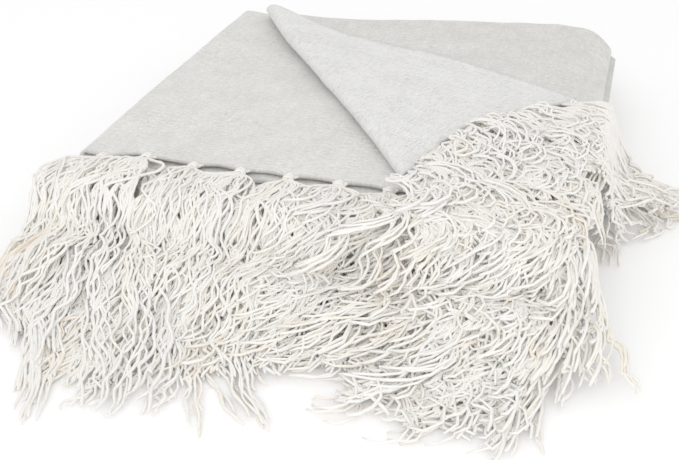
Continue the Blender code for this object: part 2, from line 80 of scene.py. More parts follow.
class Finish:
    """A surface's material: its Principled shader and the nodes that feed it."""

    def __init__(self, name, **constants):
        self.material = bpy.data.materials.new(name)
        self.material.use_nodes = True
        self.nodes = self.material.node_tree.nodes
        self.links = self.material.node_tree.links
        self.shader = self.nodes["Principled BSDF"]
        for words, value in constants.items():
            self.shader.inputs[words.replace("_", " ").title()].default_value = value

    def add(self, kind, settings=None, sockets=None):
        """A node with its settings made first, then the values or links of its sockets."""
        node = self.nodes.new(kind)
        for setting, value in (settings or {}).items():
            setattr(node, setting, value)
        for key, value in (sockets or {}).items():
            self.feed(node.inputs[key], value)
        return node

    def feed(self, socket, value):
        if isinstance(value, Reading):
            self.links.new(value.socket, socket)
        elif isinstance(value, bpy.types.NodeSocket):
            self.links.new(value, socket)
        else:
            socket.default_value = value

    def grain(self, vector, scale, detail=2.0, roughness=0.5):
        """Soft noise between 0 and 1."""
        sockets = {"Vector": vector, "Scale": scale, "Detail": detail, "Roughness": roughness}
        return Reading(self, self.add("ShaderNodeTexNoise", None, sockets).outputs[0])

    def blend(self, amount, first, second):
        """A colour between two others."""
        mixer = self.add("ShaderNodeMix", {"data_type": "RGBA"}, {0: amount, 6: first, 7: second})
        return mixer.outputs[2]

    def stretched(self, vector, scale):
        """A vector with each of its parts multiplied."""
        mapping = self.add("ShaderNodeMapping", None, {"Vector": vector, "Scale": scale})
        return mapping.outputs[0]

    def attribute(self, name):
        return self.add("ShaderNodeAttribute", {"attribute_name": name})

    def raise_surface(self, height, distance, strength):
        sockets = {"Strength": strength, "Distance": distance, "Height": height}
        bump = self.add("ShaderNodeBump", None, sockets)
        self.feed(self.shader.inputs["Normal"], bump.outputs[0])


def on_show(name, mesh):
    """A new object that shows a mesh, at the origin and unturned."""
    thing = bpy.data.objects.new(name, mesh)
    bpy.context.collection.objects.link(thing)
    return thing


PAPER_REACH = 6.0
PAPER_DROP = 0.0004
PAPER_DULL = (0.98, 0.98, 0.98, 1.0)
PAPER_CLEAN = (0.99, 0.99, 0.99, 1.0)
paper_finish = Finish("studio_paper", roughness=0.9)
paper_place = paper_finish.add("ShaderNodeTexCoord").outputs["Object"]
paper_mottle = paper_finish.grain(paper_place, 3.0)
paper_tone = paper_finish.blend(paper_mottle, PAPER_DULL, PAPER_CLEAN)
paper_finish.feed(paper_finish.shader.inputs["Base Color"], paper_tone)
bm = bmesh.new()
bmesh.ops.create_grid(bm, x_segments=1, y_segments=1, size=PAPER_REACH)
bmesh.ops.translate(bm, verts=bm.verts, vec=(0.0, 0.0, -PAPER_DROP))
paper_mesh = bpy.data.meshes.new("studio_paper")
bm.to_mesh(paper_mesh)
bm.free()
paper_mesh.materials.append(paper_finish.material)
paper = on_show("studio_paper", paper_mesh)

ROOM_BRIGHTNESS = 0.96
VIEW_GAMMA = 1.35
VIEW_EXPOSURE = -0.1
room = bpy.data.worlds.new("pale_room")
room.use_nodes = True
room.node_tree.nodes["Background"].inputs["Color"].default_value = (1.0, 1.0, 1.0, 1.0)
room.node_tree.nodes["Background"].inputs["Strength"].default_value = ROOM_BRIGHTNESS
bpy.context.scene.world = room
bpy.context.scene.view_settings.view_transform = "Standard"
bpy.context.scene.view_settings.gamma = VIEW_GAMMA
bpy.context.scene.view_settings.exposure = VIEW_EXPOSURE

LAMPS = [
    # name, place, side length, watts
    ("overhead_softbox", (-0.55, 0.75, 1.55), 1.1, 1.5),
    ("front_softbox", (0.35, -1.7, 0.95), 1.4, 12.0),
]
for name, place, side, watts in LAMPS:
    lamp = bpy.data.lights.new(name, "AREA")
    lamp.size = side
    lamp.energy = watts
    holder = bpy.data.objects.new(name, lamp)
    holder.location = place
    holder.rotation_euler = Vector(place).to_track_quat("Z", "Y").to_euler()
    bpy.context.collection.objects.link(holder)

CAMERA_PLACE = (0.224, -0.868, 0.432)
CAMERA_PITCH = math.radians(29.7)
CAMERA_TURN = math.radians(16.2)
LENS = 54.2
camera_data = bpy.data.cameras.new("camera")
camera_data.lens = LENS
camera_data.sensor_width = 36.0
camera = bpy.data.objects.new("camera", camera_data)
camera.location = CAMERA_PLACE
camera.rotation_euler = (math.pi / 2 - CAMERA_PITCH, 0.0, CAMERA_TURN)
bpy.context.collection.objects.link(camera)
bpy.context.scene.camera = camera


# The woven sheet: one length of white chenille, 1.25 m wide and 1.78 m long, folded in thirds across and
# then back and forth along its length. The top third's front corner is turned back over the stack along a
# loose diagonal roll. Both faces are a soft velvety pile, and both hems are gathered into the fringe knots.
CLOTH_WIDTH = 1.25
CLOTH_LENGTH = 1.78
CLOTH_THICKNESS = 0.003
LAYER_PITCH = 0.0053
TOP_THIRD = 0.384
SECOND_THIRD = 0.420
RIGHT_FOLD_X = 0.418
TOP_PANEL = 0.402
FRONT_FOLD_Y = -0.060
LOWER_BACK_FOLD_Y = 0.357
WHOLE_STACK_LAYERS = 11
PANEL_SLIDE = {"first": 0.0, "second": -0.006, "third": -0.009, "fourth": -0.003}
HEM_ADVANCE = {"top": -0.002, "second": 0.0, "third": 0.008}
END_ADVANCE = {"top": 0.004, "second": -0.002, "third": -0.010}
ADVANCE_REACH = 0.15
STACK_CENTRE = (0.21, 0.16)

SIDE_BEND = LAYER_PITCH / 2
SIDE_BEND_LENGTH = math.pi * SIDE_BEND
LEFT_FOLD_X = RIGHT_FOLD_X - SECOND_THIRD
SELVEDGE_X = RIGHT_FOLD_X - TOP_THIRD
ACROSS = [0.0, TOP_THIRD]
ACROSS += [ACROSS[-1] + SIDE_BEND_LENGTH]
ACROSS += [ACROSS[-1] + SECOND_THIRD]
ACROSS += [ACROSS[-1] + SIDE_BEND_LENGTH, CLOTH_WIDTH]

OUTER_BEND = 2.5 * LAYER_PITCH
INNER_BEND = 0.5 * LAYER_PITCH
TOP_HEIGHT = WHOLE_STACK_LAYERS * LAYER_PITCH + CLOTH_THICKNESS / 2
ALONG = [0.0, TOP_PANEL]
ALONG += [ALONG[-1] + math.pi * OUTER_BEND]
ALONG += [ALONG[-1] + TOP_PANEL - FRONT_FOLD_Y]
ALONG += [ALONG[-1] + math.pi * INNER_BEND]
ALONG += [ALONG[-1] + LOWER_BACK_FOLD_Y - FRONT_FOLD_Y]
ALONG += [ALONG[-1] + math.pi * OUTER_BEND, CLOTH_LENGTH]

CREASE_ON_SELVEDGE = 0.395
CREASE_ON_HEM = 0.253
CREASE_LENGTH = math.hypot(CREASE_ON_HEM, CREASE_ON_SELVEDGE)
CREASE_ALONG = (CREASE_ON_HEM / CREASE_LENGTH, -CREASE_ON_SELVEDGE / CREASE_LENGTH)
CREASE_OUT = (CREASE_ALONG[1], -CREASE_ALONG[0])
CREASE_CLEARANCE = 0.010
CREASE_LIFT = 0.006
CREASE_LIFT_WIDTH = 0.035
ROLL_AT_SELVEDGE = 0.0085
ROLL_AT_HEM = 0.0034
ROLL_SETTLES_OVER = 0.09

CORNER_KNOTS = [
    # share of the hem from the crease, heading of the strands in degrees from +X
    (0.060, -72.0),
    (0.205, -67.0),
    (0.350, -60.0),
    (0.495, -51.0),
    (0.640, -44.0),
    (0.785, -36.0),
    (0.935, -28.0),
]
HEM_COURSE = [
    # s across the sheet, how far the turned corner's hem is drawn along X, how far along Y
    (0.000, 0.022, -0.034),
    (0.035, 0.013, -0.024),
    (0.075, -0.001, -0.008),
    (0.115, -0.013, 0.005),
    (0.160, -0.012, 0.005),
    (0.195, -0.007, 0.003),
    (0.226, 0.000, 0.000),
]
HEM_COURSE_REACH = 0.15
CLEAR_OF_ROLL = 0.012


def smooth(value):
    """0 below 0, 1 above 1, and a soft step between, for a number or an array."""
    value = np.clip(value, 0.0, 1.0)
    return value * value * (3.0 - 2.0 * value)


def knots_between(start, end, count):
    """Places of even knots along a stretch of hem."""
    return [start + (end - start) * (i + 0.5) / count for i in range(count)]


CORNER_HEM = CREASE_ON_HEM - math.pi * ROLL_AT_HEM - CREASE_CLEARANCE / 2
KNOTS = {
    "corner": [CORNER_HEM * (1.0 - share) for share, _ in CORNER_KNOTS],
    "top": knots_between(CREASE_ON_HEM + CREASE_CLEARANCE, ACROSS[1], 3),
    "second": knots_between(ACROSS[2], ACROSS[3], 10),
    "third": knots_between(ACROSS[4], ACROSS[5], 10),
}
END_KNOTS = {
    "bottom": knots_between(ACROSS[0], ACROSS[1], 9),
    "middle": knots_between(ACROSS[2], ACROSS[3], 10),
    "top": knots_between(ACROSS[4], ACROSS[5], 10),
}
HEM_KNOTS = np.array(sorted(sum(KNOTS.values(), [])))
FAR_HEM_KNOTS = np.array(sorted(sum(END_KNOTS.values(), [])))


def fold_across(s, w):
    """Place along X and height above the top third, for s across the sheet and w above its middle."""
    if s <= ACROSS[1]:
        return SELVEDGE_X + s, w
    if s <= ACROSS[2]:
        a = (s - ACROSS[1]) / SIDE_BEND
        return RIGHT_FOLD_X + (SIDE_BEND + w) * math.sin(a), (SIDE_BEND + w) * math.cos(a) - SIDE_BEND
    if s <= ACROSS[3]:
        return RIGHT_FOLD_X - (s - ACROSS[2]), -LAYER_PITCH - w
    if s <= ACROSS[4]:
        a = (s - ACROSS[3]) / SIDE_BEND
        x = LEFT_FOLD_X - (SIDE_BEND - w) * math.sin(a)
        return x, (SIDE_BEND - w) * math.cos(a) - 1.5 * LAYER_PITCH
    return LEFT_FOLD_X + (s - ACROSS[4]), w - 2 * LAYER_PITCH


def fold_along(t, n):
    """Place along Y, height, and sideways slide, for t along the sheet and n above the top third."""
    slides = list(PANEL_SLIDE.values())
    if t <= ALONG[1]:
        return t, TOP_HEIGHT + n, slides[0]
    if t <= ALONG[2]:
        a = (t - ALONG[1]) / OUTER_BEND
        slide = slides[0] + (slides[1] - slides[0]) * a / math.pi
        height = TOP_HEIGHT - OUTER_BEND + (OUTER_BEND + n) * math.cos(a)
        return TOP_PANEL + (OUTER_BEND + n) * math.sin(a), height, slide
    height = TOP_HEIGHT - 2 * OUTER_BEND
    if t <= ALONG[3]:
        return TOP_PANEL - (t - ALONG[2]), height - n, slides[1]
    if t <= ALONG[4]:
        a = (t - ALONG[3]) / INNER_BEND
        slide = slides[1] + (slides[2] - slides[1]) * a / math.pi
        y = FRONT_FOLD_Y - (INNER_BEND - n) * math.sin(a)
        return y, height - INNER_BEND + (INNER_BEND - n) * math.cos(a), slide
    height -= 2 * INNER_BEND
    if t <= ALONG[5]:
        return FRONT_FOLD_Y + (t - ALONG[4]), height + n, slides[2]
    if t <= ALONG[6]:
        a = (t - ALONG[5]) / OUTER_BEND
        slide = slides[2] + (slides[3] - slides[2]) * a / math.pi
        height += (OUTER_BEND + n) * math.cos(a) - OUTER_BEND
        return LOWER_BACK_FOLD_Y + (OUTER_BEND + n) * math.sin(a), height, slide
    return LOWER_BACK_FOLD_Y - (t - ALONG[6]), height - 2 * OUTER_BEND - n, slides[3]


SCALLOP = 0.0026
SCALLOP_WIDTH = 0.012
SCALLOP_REACH = 0.030


def hem_shift(s, t):
    """How far the sheet is drawn towards the front near its hems, which the knots pull into scallops."""
    thirds = ["top", "second", "third"]
    middles = [(ACROSS[1] + ACROSS[2]) / 2, (ACROSS[3] + ACROSS[4]) / 2]
    shift = 0.0
    hems = ((HEM_ADVANCE, t, HEM_KNOTS), (END_ADVANCE, CLOTH_LENGTH - t, FAR_HEM_KNOTS))
    for table, distance, knots in hems:
        if distance > ADVANCE_REACH:
            continue
        value = table[thirds[0]]
        for middle, before, after in zip(middles, thirds, thirds[1:]):
            value += (table[after] - table[before]) * smooth((s - middle) / SIDE_BEND_LENGTH + 0.5)
        shift += value * (1.0 - smooth(distance / ADVANCE_REACH))
        from_knot = np.min(np.abs(knots - s))
        scallop = SCALLOP * (1.0 - math.exp(-((from_knot / SCALLOP_WIDTH) ** 2)))
        shift -= scallop * (1.0 - smooth(distance / SCALLOP_REACH))
    return shift


CURVE_STEPS = 241


def eased_curve(rows, column, eased_over):
    """A table's column as a smooth curve of fine steps, to be read between them."""
    places = np.linspace(rows[0][0] - eased_over, rows[-1][0] + eased_over, CURVE_STEPS)
    values = np.interp(places, [row[0] for row in rows], [row[column] for row in rows])
    steps = int(eased_over / (places[1] - places[0])) // 2
    padded = np.pad(values, steps, mode="edge")
    return places, np.convolve(padded, np.full(2 * steps + 1, 1.0 / (2 * steps + 1)), "valid")


HEM_COURSE_EASED = 0.03
HEM_CURVES = [eased_curve(HEM_COURSE, column, HEM_COURSE_EASED) for column in (1, 2)]


def turn_corner(x, y, z, w):
    """Rolls what lies in front of the crease up, over and back onto the top third."""
    from_end = (x - SELVEDGE_X, y - CREASE_ON_SELVEDGE)
    v = from_end[0] * CREASE_ALONG[0] + from_end[1] * CREASE_ALONG[1]
    u = from_end[0] * CREASE_OUT[0] + from_end[1] * CREASE_OUT[1]
    share = min(max(v / CREASE_LENGTH, 0.0), 1.0)
    roll = ROLL_AT_SELVEDGE + (ROLL_AT_HEM - ROLL_AT_SELVEDGE) * smooth(share)
    drawn = smooth((u - math.pi * roll) / CLEAR_OF_ROLL) * (1.0 - smooth(y / HEM_COURSE_REACH))
    drawn_x, drawn_y = (drawn * np.interp(x - SELVEDGE_X, *course) for course in HEM_CURVES)
    if u > 0.0:
        turned = u / roll
        if turned < math.pi:
            u = (roll - w) * math.sin(turned)
            z += roll - (roll - w) * math.cos(turned) - w
        else:
            u = -(u - math.pi * roll)
            settle = smooth(-u / ROLL_SETTLES_OVER)
            z += 2 * roll + (LAYER_PITCH - 2 * roll) * settle - 2 * w
    lift = CREASE_LIFT * (1.0 - smooth(share)) * smooth((v + CREASE_LIFT_WIDTH) / (2 * CREASE_LIFT_WIDTH))
    z += lift * math.exp(-((u / CREASE_LIFT_WIDTH) ** 2))
    x = SELVEDGE_X + v * CREASE_ALONG[0] + u * CREASE_OUT[0] + drawn_x
    y = CREASE_ON_SELVEDGE + v * CREASE_ALONG[1] + u * CREASE_OUT[1] + drawn_y
    return x, y, z


RIDGES = [
    # back end, front end, height, width, how far past its back end it fades
    ((0.024, 0.066), (0.060, -0.006), 0.0045, 0.015, 1.0),
    ((0.118, 0.222), (0.122, 0.096), 0.0010, 0.008, 0.5),
]


def soft_ridges(x, y):
    """Height of the soft ridges across the second third: one over the front left corner, one faint."""
    total = 0.0
    for back, front, height, width, fade in RIDGES:
        along = (front[0] - back[0], front[1] - back[1])
        length = math.hypot(*along)
        v = ((x - back[0]) * along[0] + (y - back[1]) * along[1]) / length
        u = ((x - back[0]) * along[1] - (y - back[1]) * along[0]) / length
        total += height * smooth(1.0 + v / (fade * length)) * math.exp(-((u / width) ** 2))
    return total


BACK_EDGE = [
    # x, how far the back edge lies behind its even place
    (0.000, 0.002),
    (0.040, -0.014),
    (0.120, -0.026),
    (0.240, 0.002),
    (0.385, 0.036),
]
BACK_CORNER = [
    # x, how far the back right corner is rounded off towards the front
    (0.360, 0.0),
    (0.388, 0.007),
    (0.400, 0.018),
    (0.410, 0.038),
    (0.421, 0.068),
]
BACK_CORNER_START = 0.17
BACK_EDGE_EASED = 0.06
BACK_CORNER_EASED = 0.01
BACK_CURVE = eased_curve(BACK_EDGE, 1, BACK_EDGE_EASED)
CORNER_CURVE = eased_curve(BACK_CORNER, 1, BACK_CORNER_EASED)
BACK_SHARE_MOST = 1.1
DOME = 0.045
DOME_START = 0.10
DOME_RISE = 0.25
CORNER_DROOP = 0.05
CORNER_REACH = 0.14
HEM_EASE = 0.03


def settle_stack(x, y, z):
    """The stack as it lies: back edge out of square, back corner rounded, top domed, front corner low."""
    back = np.clip(y / TOP_PANEL, 0.0, BACK_SHARE_MOST)
    rounded = smooth((y - BACK_CORNER_START) / (TOP_PANEL - BACK_CORNER_START))
    across = (x - LEFT_FOLD_X) / SECOND_THIRD
    dome = DOME * smooth(2 * across) * smooth(2 * (1.0 - across)) * smooth((y + DOME_START) / DOME_RISE)
    from_corner = np.hypot(x - LEFT_FOLD_X, y) / CORNER_REACH
    droop = CORNER_DROOP * (1.0 - smooth(from_corner)) * smooth(y / HEM_EASE + 1.0)
    y = y + np.interp(x, *BACK_CURVE) * back - np.interp(x, *CORNER_CURVE) * rounded
    return x - STACK_CENTRE[0], y - STACK_CENTRE[1], z * (1.0 + dome - droop)


def folded(s, t, w):
    """Where a point of the sheet lies once it is folded: s across, t along, w above its middle."""
    x, n = fold_across(s, w)
    y, z, slide = fold_along(t, n)
    x += slide
    y -= hem_shift(s, t)
    if s <= ACROSS[1] and t <= ALONG[1]:
        x, y, z = turn_corner(x, y, z, w)
    elif ACROSS[2] <= s <= ACROSS[3] and t <= ALONG[1]:
        z += soft_ridges(x, y)
    return x, y, z


BROAD_WAVE = 0.0016
BROAD_PER_METRE = 11.0
CRUMPLE = 0.0007
CRUMPLES_PER_METRE = 42.0


def unevenness(s, t):
    """How far the limp cloth stands off its even fold."""
    broad = noise.noise(Vector((s * BROAD_PER_METRE, t * BROAD_PER_METRE, 3.1)))
    crumple = noise.noise(Vector((s * CRUMPLES_PER_METRE, t * CRUMPLES_PER_METRE, 7.7)))
    return BROAD_WAVE * broad + CRUMPLE * crumple


CELLS_ACROSS = [66, 6, 58, 6, 26]
CELLS_ALONG = [80, 12, 34, 6, 30, 12, 34]
ROLL_STEPS = 8
CREASE_LINES_REACH = 0.012
MESH_TOLERANCE = 1e-5


def places_along(bends, cells):
    """Where the sheet's mesh has its lines, for the stretches between its bends."""
    places = [bends[0]]
    for start, end, count in zip(bends, bends[1:], cells):
        places += [start + (end - start) * (i + 1) / count for i in range(count)]
    return places


def draw_crease_lines(bm):
    """Cuts lines beside the turned corner's crease into its third of the flat sheet, for a round roll."""
    rolled = [math.pi * k / ROLL_STEPS for k in range(ROLL_STEPS + 1)]
    for turn in rolled:
        out = (CREASE_OUT[0] * turn, CREASE_OUT[1] * turn)
        start = (out[0] * ROLL_AT_SELVEDGE, CREASE_ON_SELVEDGE + out[1] * ROLL_AT_SELVEDGE)
        end = (CREASE_ON_HEM + out[0] * ROLL_AT_HEM, out[1] * ROLL_AT_HEM)
        faces = [f for f in bm.faces if max(v.co.x for v in f.verts) < ACROSS[1] + MESH_TOLERANCE]
        faces = [f for f in faces if max(v.co.y for v in f.verts) < ALONG[1] + MESH_TOLERANCE]
        away = {f: abs(side_of_line(f.calc_center_median(), start, end)) for f in faces}
        near = [f for f in faces if away[f] < CREASE_LINES_REACH]
        geometry = near + list({e for f in near for e in f.edges}) + list({v for f in near for v in f.verts})
        normal = (end[1] - start[1], start[0] - end[0], 0.0)
        place = (*start, 0.0)
        bmesh.ops.bisect_plane(bm, geom=geometry, plane_co=place, plane_no=normal, dist=MESH_TOLERANCE)


def side_of_line(point, start, end):
    """Distance of a point from a line, signed by its side."""
    along = (end[0] - start[0], end[1] - start[1])
    return ((point.x - start[0]) * along[1] - (point.y - start[1]) * along[0]) / math.hypot(*along)


def weave_sheet():
    """The sheet's mesh: drawn flat, given its thickness, and folded."""
    across = places_along(ACROSS, CELLS_ACROSS)
    along = places_along(ALONG, CELLS_ALONG)
    bm = bmesh.new()
    weave_map = bm.loops.layers.uv.new("weave")
    painted_light = bm.verts.layers.float.new("painted_light")
    bmesh.ops.create_grid(bm, x_segments=len(across) - 1, y_segments=len(along) - 1, size=0.5)
    for vert in bm.verts:
        column = round((vert.co.x + 0.5) * (len(across) - 1))
        row = round((vert.co.y + 0.5) * (len(along) - 1))
        vert.co = (across[column], along[row], 0.0)
    draw_crease_lines(bm)
    turned_over = bmesh.ops.extrude_face_region(bm, geom=list(bm.faces))
    under = {item for item in turned_over["geom"] if isinstance(item, bmesh.types.BMVert)}
    for face in bm.faces:
        face.smooth = True
        for loop in face.loops:
            loop[weave_map].uv = (loop.vert.co.x / CLOTH_WIDTH, loop.vert.co.y / CLOTH_LENGTH)
    for vert in bm.verts:
        s, t, _ = vert.co
        w = -CLOTH_THICKNESS / 2 if vert in under else CLOTH_THICKNESS / 2
        x, y, z = folded(s, t, w)
        vert[painted_light] = painted_light_at(s, t, vert in under)
        vert.co = settle_stack(x, y, z + unevenness(s, t) * lies_free(s, t))
    bmesh.ops.recalc_face_normals(bm, faces=bm.faces)
    mesh = bpy.data.meshes.new("woven_sheet")
    bm.to_mesh(mesh)
    bm.free()
    return mesh


def lies_free(s, t):
    """1 where the sheet may stand off its fold, and 0 on the panels that rest flat on the surface."""
    return 1.0 - smooth((t - ALONG[5]) / (ALONG[6] - ALONG[5]))


# Painted light and shade on the pile: the turned corner painted lighter, the sheet's other face painted
# darker.
PAINTED_SHADE_ON_OTHER_FACE = -0.6
PAINTED_LIGHT_TURNS_OVER = 0.01


def painted_light_at(s, t, below):
    """Painted light and shade on the pile: 1 where the turned corner is painted lighter, 0 on that face
    elsewhere, less (painted shade) on the other face.
    """
    if not below:
        return PAINTED_SHADE_ON_OTHER_FACE
    over = s * CREASE_OUT[0] + (t - CREASE_ON_SELVEDGE) * CREASE_OUT[1]
    return float(smooth(over / PAINTED_LIGHT_TURNS_OVER)) if s <= ACROSS[1] else 0.0


CHENILLE_SHADE = (0.467, 0.457, 0.430, 1.0)
CHENILLE_LIGHT = (0.73, 0.722, 0.692, 1.0)
CHENILLE_PAINTED_LIGHT = (0.735, 0.735, 0.732, 1.0)
CHENILLE_GLINT = (0.92, 0.92, 0.91, 1.0)
TUFTS_PER_METRE = 420.0
WEFT_ROWS_PER_METRE = (110.0, 430.0, 1.0)
WARP_STREAKS_PER_METRE = (260.0, 30.0, 1.0)
BRUSHED_PER_METRE = 30.0
GLINT_PATCHES_PER_METRE = 9.0
SPECKLE_CONTRAST = 2.5
STREAK_CONTRAST = 0.5
BRUSHED_CONTRAST = 0.8
PILE_TONE = 0.55
PAINTED_SHADE_CONTRAST = 0.3
GLINT_FROM = 0.53
GLINT_CONTRAST = 9.0
GLINT_STRENGTH = 0.6
PILE_RELIEF = 0.0006


def chenille_pile():
    """Chenille: fine rows of short pile along the weft, in soft streaks, brushed lighter and darker, with
    painted light on the turned corner, painted shade on the other face and painted glints.
    """
    finish = Finish("chenille_pile", roughness=0.85, sheen_weight=0.15, sheen_roughness=0.6)
    finish.shader.inputs["Specular IOR Level"].default_value = 0.15
    weave_map = finish.add("ShaderNodeUVMap", {"uv_map": "weave"}).outputs[0]
    metres = finish.stretched(weave_map, (CLOTH_WIDTH, CLOTH_LENGTH, 1.0))
    tufts = finish.grain(metres, TUFTS_PER_METRE, 2.0, 0.6)
    weft_rows = finish.grain(finish.stretched(metres, WEFT_ROWS_PER_METRE), 1.0, 2.0, 0.6)
    warp_streaks = finish.grain(finish.stretched(metres, WARP_STREAKS_PER_METRE), 1.0, 2.0, 0.6)
    brushed = finish.grain(metres, BRUSHED_PER_METRE, 4.0, 0.6)
    painted_light = Reading(finish, finish.attribute("painted_light").outputs["Fac"])
    speckle = tufts * 0.5 + weft_rows * 0.5
    tone_and_shade = (speckle - 0.5) * SPECKLE_CONTRAST + (warp_streaks - 0.5) * STREAK_CONTRAST
    tone_and_shade = tone_and_shade + (brushed - 0.5) * BRUSHED_CONTRAST + PILE_TONE
    # Painted shade: the sheet's other face is made darker.
    tone_and_shade = tone_and_shade + painted_light.maths("MINIMUM", 0.0) * PAINTED_SHADE_CONTRAST
    ground = finish.blend(tone_and_shade.clipped(), CHENILLE_SHADE, CHENILLE_LIGHT)
    # Painted light: the turned corner is made lighter, and its coarser pile stands out more.
    corner_light = painted_light.clipped()
    colour = finish.blend((corner_light * 0.35 + (tone_and_shade - 0.5) * corner_light).clipped(), ground, CHENILLE_PAINTED_LIGHT)
    # Painted glints: bright specks of highlight on the pile, gathered in patches.
    glint_patches = (finish.grain(metres, GLINT_PATCHES_PER_METRE, 3.0, 0.6) * 5.0 - 2.4).clipped()
    glints = ((speckle - GLINT_FROM) * GLINT_CONTRAST).clipped() * glint_patches
    colour = finish.blend(glints * GLINT_STRENGTH, colour, CHENILLE_GLINT)
    finish.feed(finish.shader.inputs["Base Color"], colour)
    finish.raise_surface(speckle, PILE_RELIEF, 0.35)
    return finish.material


sheet_mesh = weave_sheet()
sheet_mesh.materials.append(chenille_pile())
sheet = on_show("woven_sheet", sheet_mesh)
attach(sheet, "root")
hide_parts("throw_cloth")


# The fringe: the warp ends of both hems, gathered every 4 cm into an overhand knot of two turns, below
# which 24 to 72 twisted chenille strands run on, for 18 cm at the top end. They are combed straight at the
# left of the front hem and tangled into curls at its right and on the turned corner.
STRAND_LENGTH = 0.178
STRAND_RADIUS = 0.00120
STRAND_SIDES = 4
STRAND_RINGS = 40
KNOT_OUT = 0.0062
KNOT_RADIUS = 0.0029
WRAP_RADIUS = 0.0015
GATHERED_WIDTH = 0.013
HANG_ANGLE = math.radians(75.0)
SHOULDER_RADIUS = 0.019
SHOULDER_AND_FOOT = 0.042
SIDE_LAYERS = -2
RIGHT_EDGE_X = 0.424
CORNER_LAYERS_UP = 3
CURLY_FROM_X = 0.13
CURLY_BY_X = 0.30
COMBED_CURL = 0.18
FLOOR_REACH = [
    # place along the hem, length
    (0.000, 0.120),
    (0.035, 0.160),
    (0.080, 0.200),
    (0.165, 0.190),
    (0.200, 0.105),
    (0.250, 0.095),
    (0.290, 0.120),
    (0.335, 0.160),
    (0.430, 0.155),
]
TRAVEL_SHARES = np.linspace(0.0, 1.0, STRAND_RINGS) ** 1.08
FRINGE_SIDES = [
    # y, left side, right side
    (-0.300, 0.120, 0.377),
    (-0.250, 0.095, 0.384),
    (-0.190, 0.050, 0.394),
    (-0.170, 0.016, 0.402),
    (-0.135, 0.004, 0.412),
    (-0.100, -0.002, 0.421),
    (-0.040, -0.010, 0.422),
    (0.020, -0.012, 0.423),
    (0.055, -0.012, 0.430),
    (0.080, -0.012, 0.470),
    (0.120, -0.012, 0.505),
    (0.160, -0.012, 0.500),
    (0.180, -0.012, 0.440),
    (0.300, -0.012, 0.420),
]
SIDE_COLUMNS = [[edge[column] for edge in FRINGE_SIDES] for column in (1, 2)]
TAIL_BACK = [
    # x, how far back the loose tail reaches
    (0.360, 0.230),
    (0.400, 0.185),
    (0.418, 0.164),
    (0.442, 0.150),
    (0.471, 0.156),
    (0.520, 0.172),
]
LOOSE_SHARE = 0.32
SIDE_FALL_WIDTH = 0.030
SIDE_PILE = 0.012
SIDE_FOOT = 0.004
FRONT_DROP_LAYERS = 6
SINKS_AFTER = 0.075
SINK_SLOPE = 0.35
SINKS_TO = 0.006


def hanging(travel, run, layers_up, drop):
    """Distance out, distance down and slope of strands that run level, over a shoulder, down and out."""
    shoulder = SHOULDER_RADIUS + layers_up * LAYER_PITCH
    foot = SHOULDER_AND_FOOT - shoulder
    straight = (drop - SHOULDER_AND_FOOT * (1.0 - math.cos(HANG_ANGLE))) / math.sin(HANG_ANGLE)
    past = travel - run
    over = np.clip(past / shoulder, 0.0, HANG_ANGLE)
    past = past - shoulder * HANG_ANGLE
    falling = np.clip(past, 0.0, straight)
    eased = np.clip((past - straight) / foot, 0.0, HANG_ANGLE)
    level = np.maximum(past - straight - foot * HANG_ANGLE, 0.0)
    out = np.minimum(travel, run) + shoulder * np.sin(over) + falling * math.cos(HANG_ANGLE) + level
    out += foot * (math.sin(HANG_ANGLE) - np.sin(HANG_ANGLE - eased))
    down = shoulder * (1.0 - np.cos(over)) + falling * math.sin(HANG_ANGLE)
    down += foot * (np.cos(HANG_ANGLE - eased) - math.cos(HANG_ANGLE))
    return out, down, over - eased


def strand_course(knot, heading, length, layers_up, travel):
    """A strand's even course from its knot, with the upward side of what it lies on at each point."""
    direction = np.array((math.cos(heading), math.sin(heading), 0.0))
    up = np.array((0.0, 0.0, 1.0))
    if layers_up is None:
        sink = (knot[2] - STRAND_RADIUS) * smooth(travel / length)
        return knot + np.outer(travel, direction) - np.outer(sink, up), np.tile(up, (len(travel), 1))
    to_front = (knot[1] - FRONT_FOLD_Y) / max(-direction[1], 1e-6)
    to_side = (RIGHT_EDGE_X - knot[0]) / max(direction[0], 1e-6)
    if to_front <= to_side:
        run, slant = to_front, -1.0 / direction[1]
        out, down, slope = hanging(travel, run, layers_up, FRONT_DROP_LAYERS * LAYER_PITCH)
        sunk = np.clip(travel - run - SINKS_AFTER, 0.0, None) * SINK_SLOPE
        down = down + np.minimum(sunk, np.maximum(knot[2] - down - SINKS_TO, 0.0))
    else:
        run, slant = to_side, 1.0 / direction[0]
        out, down, slope = hanging(travel, run, SIDE_LAYERS, knot[2] - STRAND_RADIUS)
    out = out + np.maximum(out - run, 0.0) * (slant - 1.0)
    course = knot + np.outer(out, direction) - np.outer(down, up)
    return course, np.outer(np.sin(slope), direction) + np.outer(np.cos(slope), up)


def cloth_under(x, y):
    """Height of the cloth or surface that strands lie on."""
    over_stack = (x > LEFT_FOLD_X) & (x < RIGHT_FOLD_X)
    height = np.where(over_stack & (y > FRONT_FOLD_Y), 8 * LAYER_PITCH + CLOTH_THICKNESS, 0.0)
    return np.where(over_stack & (y > 0.0), WHOLE_STACK_LAYERS * LAYER_PITCH + CLOTH_THICKNESS, height)


